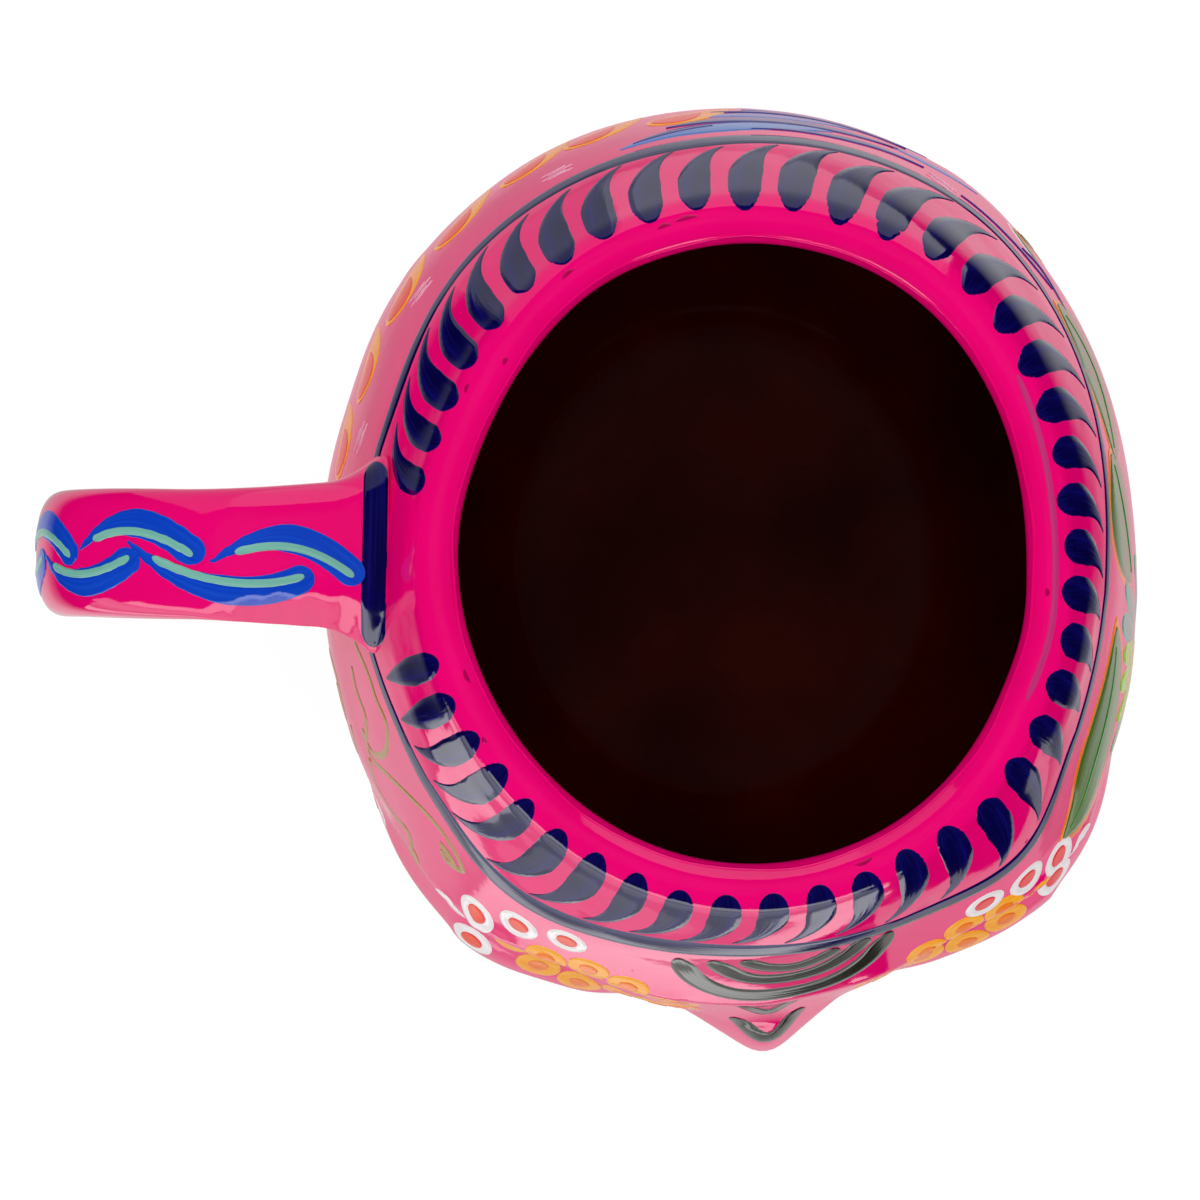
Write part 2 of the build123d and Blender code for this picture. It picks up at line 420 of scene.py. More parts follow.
def make_body():
    """Pot with nose, brow and cheekbones luted on and smoothed into one skin."""
    base_rows, round_rows, skin_rows, lip_rows = 14, 4, 126, 22
    foot_drop = OUTSIDE - FOOT_ROUNDING
    profile = [(FOOT_RADIUS * step / base_rows, 0) for step in range(base_rows - 1)]
    profile.append((FOOT_RADIUS - FOOT_ROUNDING, 0))
    round_foot = (profile[-1], (FOOT_RADIUS, 0), skin(foot_drop)[:2])
    profile += [bezier(round_foot, step / round_rows) for step in range(1, round_rows)]
    drops = [foot_drop + (LIP_OUTSIDE - foot_drop) * step / skin_rows for step in range(skin_rows)]
    drops += [LIP_OUTSIDE - (LIP_OUTSIDE + LIP_INSIDE) * step / lip_rows for step in range(lip_rows + 1)]
    profile += [skin(drop)[:2] for drop in drops]
    shape = thrown(profile + hollow(0))

    modelled = frame_surface("pot", "nose", "brow_coil", "cheekbone_left", "cheekbone_right")
    reach, near, bare_below = 15.0, 1.0, 0.3
    skin_verts = []
    for vert in shape.verts:
        x, y, z = vert.co
        if FOOT_ROUNDING < z < LIP_CENTRE.y:
            radius, _, lean = skin(drop_at(z))
            if math.hypot(x, y / OVALITY) > radius - near:
                skin_verts.append(vert)
                normal = level_normal(x, y, lean)
                hit = modelled.ray_cast(vert.co + normal * reach, -normal, reach * 1.5)[0]
                if hit:
                    vert.co = hit
    face, temples, forehead = [], [], []
    for vert in skin_verts:
        away = math.degrees(math.atan2(vert.co.y, vert.co.x)) - FACE_BEARING
        away = abs((away + 180) % 360 - 180)
        if away < FACE_SPREAD and FACE_LOW < vert.co.z < FACE_HIGH:
            face.append(vert)
        if TEMPLE_START < away < TEMPLE_END and TEMPLE_LOW < vert.co.z < FACE_HIGH:
            temples.append(vert)
        if away < FOREHEAD_SPREAD and brow_height(away) < vert.co.z < forehead_top(away):
            forehead.append(vert)
    flanks = [vert for vert in face if (vert.co - NOSE_TIP).length > NOSE_REACH]
    every_way = {"use_axis_x": True, "use_axis_y": True, "use_axis_z": True}
    for verts, passes in ((face, 4), (flanks, 20), (temples, 60), (forehead, 160)):
        for _ in range(passes):
            bmesh.ops.smooth_vert(shape, verts=verts, factor=0.5, **every_way)
    for vert in shape.verts:
        vert.co += by_hand(vert.co)
    for side in shape.faces:
        if side.calc_center_median().z < bare_below:
            side.material_index = 1
    surface = BVHTree.FromBMesh(shape)
    body = piece(shape, "mug_body", MAGENTA, CLAY)
    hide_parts("pot", "nose", "brow_coil", "cheekbone_left", "cheekbone_right")
    return surface


def make_lining():
    """The glaze inside, thinning out to nothing on the lip."""
    bond, reach = 0.03, 0.94
    clay = hollow(bond)
    glass = hollow(GLAZE)
    start = skin(-LIP_INSIDE * reach)[:2]
    shape = thrown([clay[-1]] + clay[-2::-1] + [start] + glass[1:])
    for vert in shape.verts:
        vert.co += by_hand(vert.co)
    lining = piece(shape, "inner_glaze", GLAZE_FINISH)
    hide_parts("glaze_lining")


body_surface = make_body()
make_lining()


def rounded_route(corners, bends, steps):
    """Points along straight runs joined by arcs."""
    corners = [Vector(corner) for corner in corners]
    line = [corners[0]]
    for before, corner, after, radius in zip(corners, corners[1:], corners[2:], bends):
        back = (before - corner).normalized()
        onward = (after - corner).normalized()
        half = back.angle(onward) / 2
        centre = corner + (back + onward).normalized() * radius / math.sin(half)
        start = corner + back * radius / math.tan(half) - centre
        end = corner + onward * radius / math.tan(half) - centre
        sweep = -start.angle_signed(end)
        for step in range(steps + 1):
            line.append(centre + Matrix.Rotation(sweep * step / steps, 2) @ start)
    return line + [corners[-1]]


STRAP_LINE = rounded_route(STRAP_ROUTE, STRAP_BENDS, 24)
STRAP_LENGTH = sum((b - a).length for a, b in zip(STRAP_LINE, STRAP_LINE[1:]))


def strap_at(distance):
    """Middle of the strap at a distance along it, and the way that its outer side faces."""
    left = distance
    for a, b in zip(STRAP_LINE, STRAP_LINE[1:]):
        run = (b - a).length
        if left <= run or b is STRAP_LINE[-1]:
            heading = (b - a).normalized()
            middle = a + heading * left
            outward = Vector((heading.y, 0, -heading.x))
            return Vector((middle.x, 0, middle.y)), outward
        left -= run


def to_pot(point, heading):
    """How far a point of the strap is from the pot's skin, the way that the strap heads."""
    back, far = 40.0, 50.0
    hit = body_surface.ray_cast(point - heading * back, heading, back + far)[0]
    return (hit - point).dot(heading) if hit else far


def make_handle():
    """Strap pulled by hand, flared where it is luted to the pot, with its front edge worn off."""
    along, across = 150, 80
    squareness = 2.7
    buried, sag, twist = 5.5, 2.5, math.radians(4)
    root_width = 1.8
    worn, worn_rounding = 1.02, 0.5
    near_pot, flare, flare_length = 24.0, 2.6, 6.5
    flare_above, flare_below = 0.15, 0.7
    start_face, end_face = strap_at(0)[1], strap_at(STRAP_LENGTH)[1]
    to_rim = Vector((start_face.z, 0, -start_face.x))
    to_belly = Vector((-end_face.z, 0, end_face.x))
    shape = bmesh.new()
    grid = bmesh.ops.create_grid(shape, x_segments=along, y_segments=across, size=1.0)
    # It sways along its run, sags and twists near the rim, and is worn from the rim to its first bend
    for vert in grid["verts"]:
        part = (vert.co.x + 1) / 2
        turn = vert.co.y * math.pi
        distance = buried + part * (STRAP_LENGTH - buried)
        middle, outward = strap_at(distance)
        middle.y += 0.35 * smooth(18, 42, distance) - 0.5 * smooth(60, 100, distance)
        middle.z -= sag * (1 - smooth(2, 26, distance))
        ways = (math.cos(turn), math.sin(turn))
        wide, thick = (math.copysign(abs(way) ** (2 / squareness), way) for way in ways)
        half_width = STRAP_HALF_WIDTH + root_width * (1 - smooth(-4, 30, distance))
        lean = twist * (1 - smooth(8, 40, distance))
        beside = Vector((0, math.cos(lean), 0)) + outward * math.sin(lean)
        above = outward * math.cos(lean) - Vector((0, math.sin(lean), 0))
        crest = 0.44 + 0.56 * smooth(18, 36, distance) + 0.03 * math.sin(1.7 * distance)
        slope = STRAP_HALF_THICKNESS + 0.8 - worn * half_width * max(-wide - crest + 0.09, 0)
        height = STRAP_HALF_THICKNESS * thick
        height = (height + slope - math.hypot(height - slope, worn_rounding)) / 2
        vert.co = middle + beside * half_width * wide + above * height
        if min(distance, STRAP_LENGTH - distance) < near_pot:
            gap = to_pot(vert.co, to_rim if distance < STRAP_LENGTH / 2 else to_belly)
            spread = flare * min(max(1 - gap / flare_length, 0), 1) ** 2
            share = flare_above if thick > 0 else flare_below
            vert.co += beside * spread * wide + above * spread * share * thick
    bmesh.ops.remove_doubles(shape, verts=shape.verts, dist=0.001)
    bmesh.ops.holes_fill(shape, edges=shape.edges, sides=0)
    bmesh.ops.recalc_face_normals(shape, faces=shape.faces)
    surface = BVHTree.FromBMesh(shape)
    handle = piece(shape, "strap_handle", MAGENTA)
    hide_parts("handle", "handle_upper_lute", "handle_lower_lute")
    return surface


strap_surface = make_handle()


# Paint


def oval_turn(bearing):
    """Angle round a circle that lies at a bearing once the circle is drawn out to the oval."""
    angle = math.radians(bearing)
    return math.atan2(math.sin(angle) / OVALITY, math.cos(angle))


def on_body(bearing, drop):
    """Point of the painted skin and its normal, at a bearing and a distance down from the lip's crest."""
    radius, height, lean = skin(drop)
    turn = oval_turn(bearing)
    point = Vector((radius * math.cos(turn), radius * OVALITY * math.sin(turn), height))
    normal = level_normal(point.x, point.y, lean)
    point += by_hand(point)
    reach = 12.0
    return body_surface.ray_cast(point + normal * reach, -normal, reach * 1.6)[:2]


def body_chart(bearing, drop):
    """Ground for paint round a spot of the body: right and up from it, in millimetres."""
    turn = oval_turn(bearing)
    girth = skin(drop)[0] * math.hypot(math.cos(turn), OVALITY * math.sin(turn))

    def ground(spot):
        return on_body(bearing + math.degrees(spot.x / girth), drop - spot.y)

    return ground


# Mean radius of the painted skin, for strokes that run far round it
GIRTH = 48.0


def all_round(spot):
    """Ground for long strokes round the body: along its girth and up from the lip's crest."""
    return on_body(math.degrees(spot.x / GIRTH), -spot.y)


def through(*places):
    """A smooth route round the body through bearings and drops below the lip's crest."""
    spots = [Vector((math.radians(bearing) * GIRTH, -drop)) for bearing, drop in places]
    spots = [2 * spots[0] - spots[1]] + spots + [2 * spots[-1] - spots[-2]]

    def route(part):
        leg = min(int(part * (len(spots) - 3)), len(spots) - 4)
        step = part * (len(spots) - 3) - leg
        a, b, c, d = spots[leg : leg + 4]
        bend = (2 * a - 5 * b + 4 * c - d) * step**2 + (3 * b - a - 3 * c + d) * step**3
        return b + ((c - a) * step + bend) / 2

    return route


def shortened(route, start, end):
    """The stretch of a route between two parts of it."""
    return lambda part: route(start + (end - start) * part)


def strap_chart(spot):
    """Ground for paint on the strap's outer face: along it from its start, and across it."""
    middle, outward = strap_at(spot.x)
    reach = 14.0
    return strap_surface.ray_cast(middle - Vector((0, spot.y, 0)) + outward * reach, -outward, reach)[:2]


def from_above(spot):
    """Ground for paint that crosses from the strap to the body, by its place seen from above."""
    top = Vector((spot.x, spot.y, HEIGHT + 5))
    hits = [surface.ray_cast(top, Vector((0, 0, -1)))[:2] for surface in (body_surface, strap_surface)]
    return max((hit for hit in hits if hit[0]), key=lambda hit: hit[0].z)


def new_paint():
    """An empty coat of paint with a map along and across the brush."""
    coat = bmesh.new()
    coat.loops.layers.uv.new("brush")
    return coat


def lay(coat, along, across, place, thickness, closed=False):
    """Lays one dab of paint over the places that its grid takes, with its edges sunk in the ground."""
    rim, crown = 0.999, 0.35
    grid = bmesh.ops.create_grid(coat, x_segments=along, y_segments=across, size=1.0, calc_uvs=True)
    for vert in grid["verts"]:
        part = (vert.co.x + 1) / 2
        part = part if closed else (1 - math.cos(math.pi * part)) / 2
        side = math.sin(vert.co.y * math.pi / 2)
        sunk = abs(side) > rim or (not closed and abs(vert.co.x) > rim)
        spot, normal = place(part, side)
        vert.co = spot + normal * (-SINK if sunk else thickness * (1 - crown * side**2))


def stroke(coat, ground, route, half_width, along=20, across=6, thickness=PAINT):
    """One stroke of the brush along a route on a ground."""

    def place(part, side):
        nudge = 0.01
        ahead = route(min(part + nudge, 1)) - route(max(part - nudge, 0))
        beside = Vector((-ahead.y, ahead.x)).normalized()
        return ground(route(part) + beside * side * half_width(part))

    lay(coat, along, across, place, thickness)


def spot(coat, ground, middle, width, height, thickness=PAINT):
    """A round or oval dab."""
    middle = Vector(middle)

    def place(part, side):
        across = 2 * part - 1
        tall = height / 2 * math.sqrt(max(1 - across**2, 0))
        return ground(middle + Vector((across * width / 2, side * tall)))

    lay(coat, 12, 8, place, thickness)


def ring(coat, ground, middle, radius, width, thickness=PAINT):
    """A round line closed on itself."""
    middle = Vector(middle)

    def place(part, side):
        turn = -math.tau * part
        return ground(middle + Vector((math.cos(turn), math.sin(turn))) * (radius + side * width / 2))

    lay(coat, 28, 4, place, thickness, closed=True)


def dry(coat, name, finish):
    """Finishes a coat of paint as a piece."""
    bmesh.ops.remove_doubles(coat, verts=coat.verts, dist=0.0005)
    piece(coat, name, finish)


def comma(width, head=0.16, body=0.42, tail=0.04, taper=1.15):
    """Half width of a comma stroke: round head, full body and a tail that runs out thin."""

    def half_width(part):
        rounded = math.sqrt(max(1 - (1 - min(part / head, 1)) ** 2, 0))
        left = max(part - body, 0) / (1 - body)
        return width / 2 * rounded * (1 - (1 - tail) * left**taper)

    return half_width


def blade(width):
    """Half width of a leaf or a feather: pointed at both ends."""
    return lambda part: width / 2 * max(math.sin(math.pi * part), 0.02) ** 0.75


def even(width, rounding=0.06):
    """Half width of a line with round ends."""

    def half_width(part):
        end = min(part, 1 - part) / rounding
        return width / 2 * math.sqrt(max(1 - (1 - min(end, 1)) ** 2, 0.001))

    return half_width


def between(places, at):
    """Value at a place, eased between known places."""
    for (low, start), (high, end) in zip(places, places[1:]):
        if at <= high:
            return start + (end - start) * smooth(low, high, at)
    return places[-1][1]


# How far the shoulder line lies below the lip's crest, by bearing, from one side of the handle to the other
SHOULDER_LINE = ((193, 17.0), (207, 16.2), (228, 16.8), (270, 11.9), (318, 18.3), (357, 14.7))
SHOULDER_LINE += ((409, 24.7), (458, 17.5), (490, 18.7), (518, 15.0), (528, 15.5))
LINE_WIDTH = ((193, 1.6), (235, 3.4), (290, 3.2), (340, 2.2), (385, 1.8), (450, 3.6), (505, 2.2), (528, 1.8))

# Where the heads of the rim strokes start, and how far round their tails are swept
RIM_HEADS = ((199, 1.5), (228, 0.2), (243, 0.6), (300, 0.0), (314, 1.5), (378, 1.0), (407, 1.4), (434, 0.3))
RIM_HEADS += ((465, 0.8), (490, 1.7), (527, 2.0))
RIM_SWEEP = ((199, 0.5), (232, 8.0), (252, 6.2), (295, 7.6), (328, 2.4), (400, 8.4), (457, 5.8), (527, 8.0))


def rim_strokes():
    """Navy commas round the rim, heads on the lip and tails swept clockwise down to the shoulder line."""
    draw = random.Random(4)
    coat = new_paint()
    count, first, pitch = 43, 199.5, 7.8
    lag, caught_up = 2.4, 30
    for index in range(count):
        bearing = first + pitch * index - lag * math.sin(math.pi * min(index / caught_up, 1))
        sweep = between(RIM_SWEEP, bearing) + draw.uniform(-0.6, 0.6)
        head = between(RIM_HEADS, bearing) + draw.uniform(-0.3, 0.3)
        end = between(SHOULDER_LINE, bearing - sweep) - 2.0 + draw.uniform(-0.4, 0.4)
        ground = body_chart(bearing, head)
        reach = math.radians(sweep) * skin(head)[0]
        length = end - head
        route = ((0, 0), (0.2, -0.4 * length), (0, -0.8 * length), (-reach, -length))
        width = 3.7 + 0.2 * math.cos(math.radians(bearing - 45)) + draw.uniform(-0.2, 0.2)
        stroke(coat, ground, partial(bezier, route), comma(width))
    dry(coat, "rim_strokes", NAVY)


def shoulder_line():
    """Navy line round the shoulder, from one side of the handle to the other."""
    coat = new_paint()
    first, last = SHOULDER_LINE[0][0], SHOULDER_LINE[-1][0]

    def place(part, side):
        bearing = first + (last - first) * part
        half_width = between(LINE_WIDTH, bearing) / 2
        return on_body(bearing % 360, between(SHOULDER_LINE, bearing) - side * half_width)

    lay(coat, 420, 6, place, PAINT * 1.2)
    dry(coat, "shoulder_line", NAVY)


def lacquer_edge():
    """Bead of lacquer that gathered on the inside of the lip, where the brush turned."""
    coat = new_paint()

    def place(part, side):
        turn = -math.tau * part
        wander = 0.12 * math.sin(9 * turn + 1) + 0.1 * math.sin(17 * turn)
        return on_body(math.degrees(turn) % 360, -2.5 + wander - side * 0.28)

    lay(coat, 360, 4, place, 0.09, closed=True)
    dry(coat, "lacquer_edge", MAGENTA)


rim_strokes()
shoulder_line()
lacquer_edge()

# Crescents on the strap: start along it, start across, how far they bulge, end along it, end across
CRESCENTS = (
    (8.6, 3.1, -3.4, 24.6, 0.8),
    (14.0, 2.0, 5.4, 33.5, -1.6),
    (25.6, 0.7, -5.2, 40.0, -0.7),
    (32.5, -0.3, 4.6, 47.5, 0.0),
)

# The first two come once, and the others in every round down the strap
CRESCENT_LEAD = 2
CRESCENT_PITCH = 15.4
CRESCENT_ROUNDS = 3


def crescent(start, start_across, bulge, end, end_across):
    """Routes of a crescent and of the line along its hollow side."""
    blue_half, inner = 1.55, 0.95
    side = math.copysign(1, bulge)

    def bowed(peak):
        control = 2 * peak - (start_across + end_across) / 2
        bow = ((start, start_across), ((start + end) / 2, control), (end, end_across))
        return partial(bezier, bow)

    outer = bowed(bulge - side * blue_half)
    hollow_side = bowed(bulge - side * (blue_half + inner))
    return outer, shortened(hollow_side, 0.05, 0.86)


def handle_twist():
    """Blue crescents that pass from side to side down the strap, each with a sage line inside it."""
    blue, sage = new_paint(), new_paint()
    for turn in range(CRESCENT_ROUNDS):
        shift = CRESCENT_PITCH * turn
        for start, start_across, bulge, end, end_across in CRESCENTS[CRESCENT_LEAD if turn else 0 :]:
            outer, inner = crescent(start + shift, start_across, bulge, end + shift, end_across)
            crescent_width = comma(3.3, head=0.08, body=0.5, tail=0.1)
            stroke(blue, strap_chart, outer, crescent_width, along=48, across=14, thickness=PAINT * 1.8)
            stroke(sage, strap_chart, inner, even(1.0), along=32, thickness=PAINT * 2.8)
    dry(blue, "handle_crescents", BLUE)
    dry(sage, "handle_sage_lines", SAGE)


def joint_bands():
    """Navy bands that hide the joints of the strap and the pot."""
    coat = new_paint()
    upper = ((-41.3, -10.4), (-41.2, -4.0), (-40.8, 4.0), (-40.9, 10.6))
    stroke(coat, from_above, partial(bezier, upper), even(2.9, rounding=0.09), along=60, across=8)
    low = STRAP_LENGTH - 9.0
    lower = ((low, 7.0), (low + 0.6, 2.0), (low + 0.6, -2.0), (low, -7.0))
    stroke(coat, strap_chart, partial(bezier, lower), even(2.4), along=40)
    dry(coat, "joint_bands", NAVY)


handle_twist()
joint_bands()

# The middle of each eye and its side of the face, and the beads round it
EYES = ((250.5, 39.0, -1), (301.5, 39.5, 1))
EYE_HALF_WIDTH = 11.8
EYE_HALF_HEIGHT = 13.4
EYE_SOCKET = (14.0, 16.5)
EYE_BEADS = 14
BEAD = 5.2

# Half width and half height of the sweep of white rings over each eye, and where the rings lie round it
RING_SWEEPS = ((18.5, 19.2), (17.5, 16.8))
RINGS = 7
RING_FIRST = 12.0
RING_PITCH = 20.5


def forehead_arcs():
    """Black arcs nested on the forehead and across the bridge of the nose."""
    coat = new_paint()
    arcs = (
        (
            (261.6, 15.5), (264.5, 21.5), (269.3, 25.3), (275.6, 26.2), (282.3, 25.4), (288.1, 22.0),
            (292.2, 16.5),
        ),
        ((266.2, 15.0), (270.3, 19.8), (274.9, 21.6), (281.1, 21.1), (286.1, 18.2), (288.6, 15.2)),
        ((270.6, 14.8), (274.2, 17.4), (278.1, 18.3), (281.7, 17.2), (284.4, 15.4)),
        ((271.0, 34.0), (274.5, 36.8), (278.5, 34.0)),
        ((270.2, 41.0), (274.4, 44.2), (278.6, 41.0)),
    )
    for arc, width in zip(arcs, (3.4, 3.2, 2.8, 2.2, 3.0)):
        stroke(coat, all_round, through(*arc), even(width, rounding=0.1), along=40, thickness=PAINT * 1.5)
    dry(coat, "forehead_arcs", BLACK)


def eye_beads():
    """Eyes ringed by yellow beads, and white rings that sweep round the outer side."""
    sockets, beads, bead_centres = new_paint(), new_paint(), new_paint()
    rings, coral_centres, red_centres = new_paint(), new_paint(), new_paint()
    for (bearing, drop, side), (half_width, half_height) in zip(EYES, RING_SWEEPS):
        around = body_chart(bearing, drop)
        spot(sockets, around, (0, 0), *EYE_SOCKET)
        for index in range(EYE_BEADS):
            turn = math.tau * (index + 0.5) / EYE_BEADS
            middle = (EYE_HALF_WIDTH * math.cos(turn), EYE_HALF_HEIGHT * math.sin(turn))
            spot(beads, around, middle, BEAD, BEAD, thickness=PAINT * 1.2)
            spot(bead_centres, around, middle, BEAD * 0.45, BEAD * 0.45, thickness=PAINT * 2.2)
        for index in range(RINGS):
            turn = math.radians(RING_FIRST + RING_PITCH * index)
            middle = (side * half_width * math.sin(turn), half_height * math.cos(turn))
            ring(rings, around, middle, BEAD * 0.39, BEAD * 0.27, thickness=PAINT * 1.4)
            centres = coral_centres if side < 0 else red_centres
            spot(centres, around, middle, BEAD * 0.52, BEAD * 0.52, thickness=PAINT * 1.1)
    dry(sockets, "eye_sockets", BLACK)
    dry(beads, "eye_beads", YELLOW)
    dry(bead_centres, "eye_bead_centres", ORANGE)
    dry(rings, "brow_rings", WHITE)
    dry(coral_centres, "brow_ring_centres_left", CORAL)
    dry(red_centres, "brow_ring_centres_right", RED)


forehead_arcs()
eye_beads()

# Ornament round the body: bearings run round to the next turn where a stroke crosses the right side


def brush(name, finish, strokes, coats=1, along=20, across=6):
    """A coat of strokes, each a ground, a route over it and a half width, laid over earlier coats."""
    coat = new_paint()
    for ground, route, half_width in strokes:
        stroke(coat, ground, route, half_width, along, across, PAINT * coats)
    dry(coat, name, finish)


def dabs(name, finish, places, coats=1):
    """A coat of dabs, each a bearing, a drop, a width and a height."""
    coat = new_paint()
    for bearing, drop, width, height in places:
        spot(coat, body_chart(bearing, drop), (0, 0), width, height, thickness=PAINT * coats)
    dry(coat, name, finish)


def spiral(reach, turns, first, hand):
    """Route of a scroll that winds in to its middle."""

    def route(part):
        turn = first + hand * math.tau * turns * part
        return Vector((math.cos(turn), math.sin(turn))) * reach * (1 - 0.86 * part)

    return route


# Gold scrolls between the handle and the face, seen from above, and the spirals that carry them on below
GOLD_SCROLLS = (
    ((190, 24), (197.1, 20.8), (201.7, 20.4), (205.7, 20.1), (209.1, 24.3), (208.9, 29.4), (206.5, 31)),
    (
        (196, 27), (199.4, 27.6), (203.8, 27.2), (208.3, 32), (212.3, 27.8), (216.9, 23.9), (222.6, 21.2),
        (226.4, 21.3), (229, 22.7), (226.7, 25), (224.9, 24.6),
    ),
    ((209, 33), (212.5, 36.7), (216.8, 35), (219.9, 31.9), (222.3, 33.5)),
    ((168, 34), (173, 29), (178, 30), (180, 35), (176, 39)),
)
GOLD_SPIRALS = ((199, 45, 7.5, 1.6, 1.0, -1), (226, 44, 6.0, 1.5, 2.4, 1), (204, 80, 7.0, 1.6, 4.2, 1))
GOLD_ENDS = ((226, 23.6, 3.4, 1.7), (223, 33.9, 2.4, 1.6), (206, 30.8, 2.2, 1.6), (175.6, 39.4, 2.2, 1.6))


def gold_scrolls():
    """Thin gold scrolls, each with a filled curl at its end."""
    lines = [(all_round, through(*places), even(1.1, rounding=0.02)) for places in GOLD_SCROLLS]
    for bearing, drop, *shape in GOLD_SPIRALS:
        lines.append((body_chart(bearing, drop), spiral(*shape), comma(1.5, head=0.03, body=0.7, tail=0.4)))
    brush("gold_scrolls", GOLD, lines, along=64, across=4)
    dabs("gold_scroll_ends", GOLD, GOLD_ENDS)


# Comma petals in a row behind the handle: the head of each, and how far its tail runs round and down
FLAME_HEADS = ((168.6, 30.5), (157.4, 29.7), (145.9, 30.2), (133.8, 31.5), (121.8, 32.4), (112.2, 32.1))
FLAME_HEADS += ((101, 30),)
FLAME_TAIL = (-10.5, 8.5)


def flame_row():
    """Yellow comma petals with coral cores."""
    outer, core = [], []
    turn, fall = FLAME_TAIL
    full = {"head": 0.42, "body": 0.4, "taper": 1.7}
    for bearing, drop in FLAME_HEADS:
        waist = (bearing + 0.45 * turn, drop + 0.3 * fall)
        route = through((bearing, drop), waist, (bearing + turn, drop + fall))
        outer.append((all_round, route, comma(7.4, **full)))
        core.append((all_round, shortened(route, 0.06, 0.68), comma(5.6, **full)))
    brush("flame_petals", YELLOW, outer, coats=1.4, along=36, across=12)
    brush("flame_petal_cores", CORAL, core, coats=2.6, along=36, across=12)


# White dashes in small clusters between the motifs, and the height and left end of each in its cluster
DASH_CLUSTERS = ((115, 23.6), (140, 25.5), (162.6, 23.4), (61, 26.6), (214, 67), (152, 82))
DASH_CLUSTERS += ((60, 47), (325, 62))
DASHES = ((-1.2, -1.4), (-0.4, -2.2), (0.4, -1.2), (1.1, -2.0))
DASH_LENGTH = 3.4


def white_dashes():
    """Clusters of short white dashes."""
    strokes = []
    for bearing, drop in DASH_CLUSTERS:
        for row, left in DASHES:
            dash = ((left, row), (left + DASH_LENGTH, row - 0.3))
            strokes.append((body_chart(bearing, drop), partial(bezier, dash), even(0.28, rounding=0.2)))
    brush("white_dashes", PALE, strokes, coats=1.5, along=6, across=4)


# Feathers that sweep round the back of the shoulder: width, then places from root to tip
SKY_FEATHERS = (
    (5.0, (106, 21.5), (99, 23), (92, 23.7), (84, 25.5), (77, 28.2)),
    (4.4, (97, 30.5), (90, 32), (82, 33), (74, 35.5)),
    (3.2, (70, 33.0), (63, 33.5), (56, 35.5)),
    (4.2, (89, 38.0), (81, 39.0), (73, 39.5), (64, 41.5)),
)
INDIGO_FEATHERS = (
    (3.4, (99.2, 26.3), (93, 27.5), (87, 28.3), (77, 30), (68, 33)),
    (1.8, (88, 22.7), (77, 25.5), (70, 28), (64, 29)),
    (2.6, (93, 34.5), (84, 36.0), (76, 37.0), (67, 37.5)),
    (1.5, (104, 22.3), (99, 23.7), (93, 24.6)),
    (1.2, (58, 27), (50.3, 28), (44, 29), (40, 30)),
    (1.4, (47, 30), (43.5, 32.5), (40, 31.5), (36.5, 29.5)),
)


def feathers():
    """Blue feathers, and an olive eye edged in white beside them."""
    for name, finish, table, coats in (
        ("sky_feathers", SKY, SKY_FEATHERS, 1),
        ("indigo_feathers", INDIGO, INDIGO_FEATHERS, 2),
    ):
        strokes = [(all_round, through(*places), blade(width)) for width, *places in table]
        brush(name, finish, strokes, coats, along=30)
    almond = through((50.6, 35.8), (46.6, 34.0), (42.6, 32.2))
    brush("almond_edge", WHITE, [(all_round, almond, blade(3.6))])
    brush("almond", LEAF, [(all_round, shortened(almond, 0.12, 0.88), blade(2.6))], coats=2)


# Leaves with an orange edge: width, then places from root to tip
LEAVES = (
    (18.0, (399, 26), (387, 29), (373, 23)),
    (18.0, (376, 21), (366, 24.5), (355.5, 30)),
    (13.0, (351, 21), (342, 25), (333, 27.5), (325, 28.5), (318, 27.5)),
    (6.0, (410, 52), (406, 44), (409, 37)),
    (7.6, (111, 82), (113, 68), (110, 53)),
    (7.6, (166, 82), (163, 68), (166, 52)),
    (7.6, (416, 84), (420, 70), (415, 56)),
    (7.6, (366, 84), (362, 74), (364, 62)),
    (6.4, (190, 80), (193, 68), (189, 56)),
    (6.4, (228, 86), (224, 76), (228, 64)),
    (6.4, (326, 86), (330, 76), (326, 66)),
)


def leaves():
    """Green leaves over an orange edge, with a darker vein."""
    routes = [(width, through(*places)) for width, *places in LEAVES]
    brush("leaf_edges", ORANGE, [(all_round, route, blade(width)) for width, route in routes])
    inner = [(all_round, shortened(route, 0.04, 0.96), blade(width - 1.3)) for width, route in routes]
    brush("leaves", LEAF, inner, coats=2)
    veins = [(all_round, shortened(route, 0.12, 0.9), blade(1.1)) for _, route in routes]
    brush("leaf_veins", GREEN, veins, coats=3, across=4)


def petals(ground, count, inner, outer, width):
    """Strokes of a flower's petals, heads outwards and tails drawn in to its eye."""
    strokes = []
    for index in range(count):
        turn = math.tau * index / count
        ends = ((outer, turn), ((inner + outer) / 2, turn + 0.16), (inner, turn + 0.1))
        bow = [Vector((math.cos(angle), math.sin(angle))) * away for away, angle in ends]
        strokes.append((ground, partial(bezier, bow), comma(width, head=0.32, body=0.4, tail=0.2)))
    return strokes


# Flowers: name, bearing, drop, petals, reach, petal width, and the finishes of petals, inner petals and eye
FLOWERS = (
    ("blue_flower", 86, 61, 9, 15.0, 6.6, SKY, INDIGO, YELLOW),
    ("orange_flower", 138, 61, 8, 14.0, 6.6, ORANGE, YELLOW, RED),
    ("coral_flower", 30, 62, 8, 14.0, 6.6, CORAL, WHITE, NAVY),
    ("white_flower", 211, 60, 7, 9.0, 4.8, WHITE, CORAL, YELLOW),
    ("chin_flower", 274.5, 89, 6, 7.0, 4.4, YELLOW, ORANGE, RED),
)


